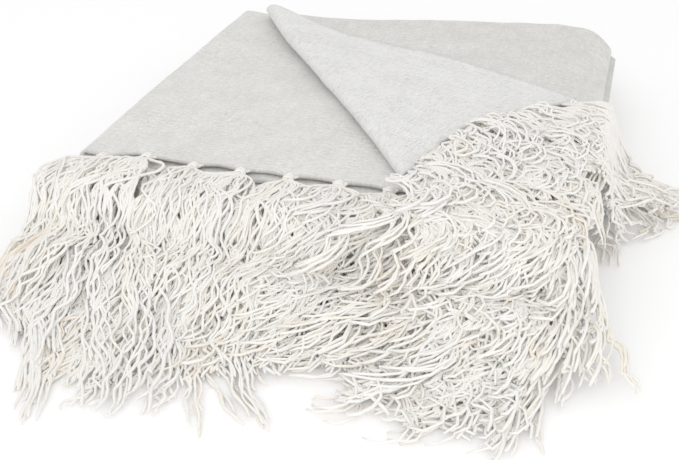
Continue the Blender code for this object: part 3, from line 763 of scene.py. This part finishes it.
def held_in(path, margin):
    """Draws strands that would leave the sides of the fringe, or its tail's back, towards them."""
    bounds = [np.interp(path[:, 1], [edge[0] for edge in FRINGE_SIDES], column) for column in SIDE_COLUMNS]
    bounds = [bounds[0] - margin, bounds[1] + margin]
    x = path[:, 0]
    x = np.where(x < bounds[0], bounds[0] + (x - bounds[0]) * LOOSE_SHARE, x)
    path[:, 0] = np.where(x > bounds[1], bounds[1] + (x - bounds[1]) * LOOSE_SHARE, x)
    back = np.interp(path[:, 0], *zip(*TAIL_BACK)) + margin
    path[:, 1] = np.where(path[:, 1] > back, back + (path[:, 1] - back) * LOOSE_SHARE, path[:, 1])


LOCK_SPREAD = 9.0
CURLY_SPREAD = 12.0
WAVE_LENGTHS = (0.07, 0.15)
CURL_SIZES = (0.55, 1.35)
COIL_LENGTHS = (0.023, 0.038)
SIDE_MARGIN = (-0.004, 0.009)
LONGEST_REACH = 1.06


def choose_lock(row, chance, curly):
    """One lock, whose strands cling together: how it leans, bends, swings, coils and lies over others."""
    return {
        "aim": chance.uniform(-1.0, 1.0),
        "turn": chance.normal(0.0, math.radians(LOCK_SPREAD + CURLY_SPREAD * curly**2)),
        "bend": chance.normal(row["bend"] * (1.0 - curly), 0.020 + 0.010 * curly),
        "swing": chance.normal(0.0, 0.0055 + 0.0030 * curly),
        "wave": chance.uniform(*WAVE_LENGTHS),
        "phase": chance.uniform(0.0, 2 * math.pi),
        "curl": chance.uniform(*CURL_SIZES) * curly,
        "coil": chance.uniform(*COIL_LENGTHS),
        "coil_phase": chance.uniform(0.0, 2 * math.pi),
        "lift": chance.uniform(0.0, 1.0),
        "margin": chance.normal(*SIDE_MARGIN),
        "reach": chance.uniform(1.0 - row["uneven"], LONGEST_REACH),
        "flop": row["flop"] * curly**3 * max(chance.uniform(-1.0, 1.0), 0.0),
    }


STRAY_SHARE = 0.06
STRAY_LOOSENESS = 2.2
STRAY_LENGTH = 1.08
OWN_LENGTHS = (0.90, 1.06)
OWN_WAVES = (0.022, 0.055)
OPENS_FROM = 0.001
OPENS_OVER = 0.024
GROWS_FROM = 0.008
GROWS_OVER = 0.045
CURL_LEAST = 0.0005
CURL_RADIUS = 0.0060
FLOP_REACH = 0.07
LEFT_ROOT = 0.015


def lay_strand(place, knot, heading, row, lock, curly, chance):
    """One strand's path, radius, tone with painted shade, and travel: its lock's course with a little of its
    own.
    """
    edge_at = row["edge_at"]
    stray = chance.random() < STRAY_SHARE
    loosely = STRAY_LOOSENESS if stray else 1.0
    hem_x = edge_at(place, 0.0, 0.0)[0]
    length = row["length"](place, hem_x) * lock["reach"] * chance.uniform(*OWN_LENGTHS)
    length = length * (STRAY_LENGTH if stray else 1.0)
    travel = length * TRAVEL_SHARES
    course, upward = strand_course(knot, heading, length, row["layers_up"], travel)
    aside = np.array((-math.sin(heading), math.cos(heading), 0.0))
    ahead = np.array((math.cos(heading), math.sin(heading), 0.0))

    opened = smooth((travel - OPENS_FROM) / OPENS_OVER)
    grown = smooth((travel - GROWS_FROM) / GROWS_OVER)
    fan = row["pitch"] * 0.62 * np.clip(0.75 * lock["aim"] + chance.normal(0.0, 0.26), -1.3, 1.3)
    turn = math.tan(np.clip(lock["turn"] + chance.normal(0.0, 0.035 * loosely), -0.8, 0.8))
    swing = lock["swing"] * np.sin(2 * math.pi * travel / lock["wave"] + lock["phase"])
    own_phase = chance.uniform(0.0, 2 * math.pi)
    own_wave = chance.uniform(*OWN_WAVES)
    own = chance.normal(0.0, (0.0013 + 0.0010 * curly) * loosely)
    swing = swing + own * np.sin(2 * math.pi * travel / own_wave + own_phase)
    sideways = fan * opened + turn * np.maximum(travel - 0.02, 0.0) * smooth(travel / 0.06)
    sideways = sideways + (lock["bend"] * (travel / STRAND_LENGTH) ** 2 + swing) * grown

    curl = CURL_LEAST + CURL_RADIUS * lock["curl"] * chance.uniform(0.7, 1.3)
    coil = lock["coil"] * chance.uniform(0.92, 1.08)
    own_turn = chance.normal(0.0, (0.35 + 0.5 * curly) * loosely)
    coiled = 2 * math.pi * travel / coil + lock["coil_phase"] + own_turn
    curling = curl * np.clip(grown + 0.25 * np.sin(travel / length * 5.0 + own_phase), 0.0, 1.2)
    flopped = np.sin(math.pi * np.clip(travel / FLOP_REACH, 0.0, 1.0))
    onward = curling * np.sin(coiled) - lock["flop"] * flopped
    sideways = sideways + curling * np.cos(coiled)

    piled = row["fluff"] * (0.25 + 0.75 * lock["lift"]) + chance.uniform(0.0, 0.0022)
    lift = piled * opened + 0.45 * curling * (1.0 + np.sin(coiled * 0.5 + lock["phase"]))
    lift = lift * (1.0 - 0.6 * smooth(travel / length * 1.5 - 0.5))
    lift = lift + 0.5 * lock["flop"] * flopped
    clump = chance.normal(0.0, 0.0010, 2)
    path = course + np.outer(sideways + clump[0], aside) + np.outer(onward, ahead)
    path = path + upward * (lift + clump[1])[:, None]

    start = np.array(edge_at(place + chance.uniform(-0.5, 0.5) * GATHERED_WIDTH, 0.0, 0.0))
    rooted = start + np.outer(smooth(travel / 0.010), knot + aside * clump[0] * 2 - start)
    path = rooted + (path - rooted) * smooth((travel - 0.003) / 0.012)[:, None]
    held_in(path, lock["margin"] + chance.normal(0.0, 0.004))
    beyond_edge = smooth((path[:, 0] - RIGHT_EDGE_X) / SIDE_FALL_WIDTH)
    roof = knot[2] + SIDE_PILE - (knot[2] - SIDE_FOOT) * beyond_edge
    above = (path[:, 0] > RIGHT_EDGE_X) & (path[:, 2] > roof)
    path[:, 2] = np.where(above, roof + (path[:, 2] - roof) * LOOSE_SHARE, path[:, 2])
    ground = np.where(travel < LEFT_ROOT, 0.0, cloth_under(path[:, 0], path[:, 1]))
    path[:, 2] = np.maximum(path[:, 2], ground + STRAND_RADIUS)

    lumps = 1.0 + 0.16 * np.sin(travel * chance.uniform(600.0, 1000.0) + own_phase)
    taper = 1.0 - 0.30 * smooth((travel / length - 0.97) / 0.03)
    radius = STRAND_RADIUS * chance.uniform(0.86, 1.16) * lumps * taper
    # Painted shade: strands lying low among the others get a lower tone, which the yarn shows darker and tan;
    # the rest varies at random.
    tone_and_shade = 0.28 + 0.45 * lock["lift"] + chance.normal(0.0, 0.12) + lift * 25.0
    return path, radius, np.clip(tone_and_shade, 0.0, 1.0), travel


KNOT_LIFT = 0.0008
WRAP_START = -0.6
WRAP_TURNS = 1.15
WRAPS_APART = 0.0026
WRAP_PITCH = 0.0022
KNOT_BREADTH = 1.15
KNOT_FLATNESS = 0.85


def gather_knot(place, row, chance, strands, wraps):
    """Adds one knot's strands and its two wraps to a row."""
    edge_at = row["edge_at"]
    hem = np.array(edge_at(place, 0.0, 0.0))
    knot = np.array(edge_at(place, KNOT_OUT, 0.0)) + (0.0, 0.0, KNOT_LIFT)
    heading = row["heading"](place)
    curly = row["curly"](place, hem[0])
    locks = [choose_lock(row, chance, curly) for _ in range(row["locks"])]
    for number in range(round(row["strands"] * row["crowd"](place))):
        strands.append(lay_strand(place, knot, heading, row, locks[number % len(locks)], curly, chance))

    outward = (knot - hem) * (1.0, 1.0, 0.0)
    outward /= np.linalg.norm(outward)
    beside = np.array((-outward[1], outward[0], 0.0))
    up = np.array((0.0, 0.0, 1.0))
    for wrap in range(2):
        angle = np.linspace(WRAP_START, 2 * math.pi * WRAP_TURNS, STRAND_RINGS) + wrap * math.pi
        progress = np.linspace(-0.5, 0.5, STRAND_RINGS)
        shift = (wrap - 0.5) * WRAPS_APART + progress * WRAP_PITCH
        inside = 1.0 - 0.45 * smooth((np.abs(progress) - 0.38) / 0.12)
        across = np.cos(angle) * KNOT_RADIUS * KNOT_BREADTH * inside
        upright = np.sin(angle) * KNOT_RADIUS * KNOT_FLATNESS * inside + 0.0006
        path = knot + np.outer(shift, outward) + np.outer(across, beside)
        path += np.outer(upright, up)
        wraps.append((path, np.full(STRAND_RINGS, WRAP_RADIUS), np.full(STRAND_RINGS, 0.9), progress * 0.02))


TUBE_SPACING = 4.0
ASLANT = (0.31, 0.21, 0.93)
YARN_OFFSET = 7.0


def strand_tubes(name, courses):
    """One mesh with a tube for each course: copies of one short tube, each laid along its own path."""
    bm = bmesh.new()
    bmesh.ops.create_cone(
        bm,
        cap_ends=True,
        segments=STRAND_SIDES,
        radius1=1.0,
        radius2=1.0,
        depth=1.0,
        matrix=Matrix.Translation((0.0, 0.0, 0.5)),
    )
    lengthwise = [edge for edge in bm.edges if abs(edge.verts[0].co.z - edge.verts[1].co.z) > 0.5]
    bmesh.ops.subdivide_edges(bm, edges=lengthwise, cuts=STRAND_RINGS - 2)
    for face in bm.faces:
        face.smooth = True
    tube = bpy.data.meshes.new(name)
    bm.to_mesh(tube)
    bm.free()
    holder = on_show(name, tube)
    array = holder.modifiers.new("copies", "ARRAY")
    array.count = len(courses)
    array.use_relative_offset = False
    array.use_constant_offset = True
    array.constant_offset_displace = (TUBE_SPACING, 0.0, 0.0)
    mesh = bpy.data.meshes.new_from_object(holder.evaluated_get(bpy.context.evaluated_depsgraph_get()))
    bpy.data.objects.remove(holder)
    bpy.data.meshes.remove(tube)
    mesh.name = name

    spots = np.zeros(len(mesh.vertices) * 3, np.float32)
    mesh.vertices.foreach_get("co", spots)
    spots = spots.reshape(-1, 3)
    which = np.rint(spots[:, 0] / TUBE_SPACING).astype(int)
    ring = np.rint(spots[:, 2] * (STRAND_RINGS - 1)).astype(int)
    angle = np.arctan2(spots[:, 1], spots[:, 0] - which * TUBE_SPACING)

    paths = np.array([course[0] for course in courses])
    radii = np.array([course[1] for course in courses])
    tones_and_shades = np.array([course[2] for course in courses])
    travels = np.array([course[3] for course in courses])
    ahead = np.gradient(paths, axis=1)
    ahead /= np.linalg.norm(ahead, axis=2, keepdims=True)
    side = np.zeros_like(paths)
    side[:, 0] = np.cross(ahead[:, 0], ASLANT)
    side[:, 0] /= np.linalg.norm(side[:, 0], axis=1, keepdims=True)
    for k in range(1, STRAND_RINGS):
        carried = side[:, k - 1]
        carried = carried - ahead[:, k] * np.sum(carried * ahead[:, k], axis=1, keepdims=True)
        side[:, k] = carried / np.linalg.norm(carried, axis=1, keepdims=True)
    third = np.cross(ahead, side)
    radius = radii[which, ring]
    around = side[which, ring] * np.cos(angle)[:, None] + third[which, ring] * np.sin(angle)[:, None]
    placed = paths[which, ring] + around * radius[:, None]
    placed = np.stack(settle_stack(placed[:, 0], placed[:, 1], np.maximum(placed[:, 2], 0.0)), axis=1)
    mesh.vertices.foreach_set("co", placed.astype(np.float32).ravel())
    tone_and_shade = mesh.attributes.new("tone_and_shade", "FLOAT", "POINT")
    tone_and_shade.data.foreach_set("value", tones_and_shades[which, ring].astype(np.float32))
    yarn = mesh.attributes.new("yarn", "FLOAT_VECTOR", "POINT")
    wound = travels[which, ring] / STRAND_RADIUS + which * YARN_OFFSET
    own = np.stack((np.cos(angle), np.sin(angle), wound), axis=1)
    yarn.data.foreach_set("vector", own.astype(np.float32).ravel())
    mesh.update()
    return mesh


YARN_PAINTED_SHADE = (0.86, 0.75, 0.60, 1.0)
YARN_CREAM = (0.88, 0.84, 0.76, 1.0)
YARN_WHITE = (0.88, 0.86, 0.825, 1.0)
YARN_PLIES = 2.0
YARN_TWIST = 1.1
YARN_FUZZ = (1.4, 1.4, 1.7)
PATCHES_PER_METRE = 38.0
YARN_RELIEF = 0.0007


def fringe_yarn():
    """Chenille yarn: two fuzzy plies twisted together, cream and white, with painted shade that turns it
    darker and tan where strands lie deep under others.
    """
    finish = Finish("twisted_yarn", roughness=0.8, sheen_weight=0.2, sheen_roughness=0.6)
    finish.shader.inputs["Specular IOR Level"].default_value = 0.2
    yarn = finish.attribute("yarn").outputs["Vector"]
    parts = finish.add("ShaderNodeSeparateXYZ", None, {0: yarn})
    angle = Reading(finish, parts.outputs[1]).maths("ARCTAN2", Reading(finish, parts.outputs[0]))
    twist = (angle * YARN_PLIES + Reading(finish, parts.outputs[2]) * YARN_TWIST).maths("SINE")
    fuzz = finish.grain(finish.stretched(yarn, YARN_FUZZ), 1.0, 3.0, 0.65)
    patch = finish.grain(finish.add("ShaderNodeTexCoord").outputs["Object"], PATCHES_PER_METRE, 2.0)
    tone_and_shade = Reading(finish, finish.attribute("tone_and_shade").outputs["Fac"])
    # Painted shade: the lower the tone, the darker and tanner the yarn, with fuzz, patches and the twist of
    # the plies mixed in.
    depth = (tone_and_shade + (fuzz - 0.5) * 0.35 + (patch - 0.5) * 0.35 + twist * 0.05).clipped()
    cream = finish.blend((depth * 2.2).clipped(), YARN_PAINTED_SHADE, YARN_CREAM)
    colour = finish.blend((depth * 1.6 - 0.35).clipped(), cream, YARN_WHITE)
    finish.feed(finish.shader.inputs["Base Color"], colour)
    finish.raise_surface(fuzz + twist * 0.22, YARN_RELIEF, 0.4)
    return finish.material


def read_table(rows, place):
    """The second column of a table at a place in its first, in straight lines between rows."""
    return float(np.interp(place, [row[0] for row in rows], [row[1] for row in rows]))


def curl_along_front(place, x):
    """0 where the strands are combed straight and 1 where they are a tangle of curls."""
    return COMBED_CURL + (1.0 - COMBED_CURL) * float(smooth((x - CURLY_FROM_X) / (CURLY_BY_X - CURLY_FROM_X)))


def straight_to_front(place):
    """The front hem's strands all head for the front."""
    return -math.pi / 2


def hem_row(node, places, seed, layers_up, strands, upside, far_end=False, **changes):
    """Builds the fringe of one stretch of hem as one piece, in place of its solid."""

    def edge_at(place, out, level):
        return folded(place, CLOTH_LENGTH + out if far_end else -out, level * upside)

    row = {
        "edge_at": edge_at,
        "heading": straight_to_front,
        "curly": curl_along_front,
        "pitch": abs(places[1] - places[0]),
        "locks": 5,
        "strands": strands,
        "crowd": lambda place: 1.0,
        "layers_up": layers_up,
        "length": lambda place, x: read_table(FLOOR_REACH, x) if far_end else STRAND_LENGTH,
        "fluff": 0.004,
        "bend": 0.0,
        "uneven": 0.22,
        "flop": 0.0,
    }
    row.update(changes)
    chance = np.random.default_rng(seed)
    courses = []
    wraps = []
    for place in places:
        gather_knot(place, row, chance, courses, wraps)
    mesh = strand_tubes(node.replace("fringe", "knotted_fringe"), courses + wraps)
    mesh.materials.append(YARN)
    piece = on_show(mesh.name, mesh)
    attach(piece, "root")
    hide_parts(node)
    return piece


YARN = fringe_yarn()
fringe = [
    hem_row("fringe_end_bottom", END_KNOTS["bottom"], 11, None, 24, -1, True, fluff=0.003, bend=0.03),
    hem_row("fringe_end_middle", END_KNOTS["middle"], 12, None, 32, 1, True, fluff=0.007, bend=0.03),
    hem_row("fringe_end_top", END_KNOTS["top"], 13, None, 42, -1, True, fluff=0.014, uneven=0.35, bend=0.02),
    hem_row("fringe_third", KNOTS["third"], 14, 0, 34, 1, fluff=0.005, uneven=0.35),
    hem_row("fringe_second", KNOTS["second"], 15, 1, 56, -1, fluff=0.005, uneven=0.4, locks=9),
    hem_row("fringe_top", KNOTS["top"], 16, 2, 56, 1, fluff=0.004, uneven=0.35, locks=9),
]


def corner_heading(place):
    """Which way the turned corner's strands run, from the front at its crease round to the right."""
    rows = [(-knot, aim) for knot, (_, aim) in zip(KNOTS["corner"], CORNER_KNOTS)]
    return math.radians(read_table(rows, -place))


TAIL_FROM = 0.35
TAIL_OVER = 0.2
TAIL_COMBED = 0.6
TAIL_THINNED = 0.45


def in_tail(place):
    """1 at the corner's last knots, whose strands go off to the right as a loose tail."""
    return float(smooth((CORNER_HEM * TAIL_FROM - place) / (CORNER_HEM * TAIL_OVER)))


def corner_curl(place, x):
    """The corner's strands are all curls, and less so in the tail."""
    return 1.0 - TAIL_COMBED * in_tail(place)


def corner_crowd(place):
    """What share of a full knot's strands each of the corner's knots has."""
    return 1.0 - TAIL_THINNED * in_tail(place)


fringe.append(
    hem_row(
        "fringe_corner",
        KNOTS["corner"],
        17,
        CORNER_LAYERS_UP,
        72,
        -1,
        heading=corner_heading,
        curly=corner_curl,
        crowd=corner_crowd,
        fluff=0.004,
        bend=0.02,
        flop=0.014,
        uneven=0.35,
        locks=10,
    )
)
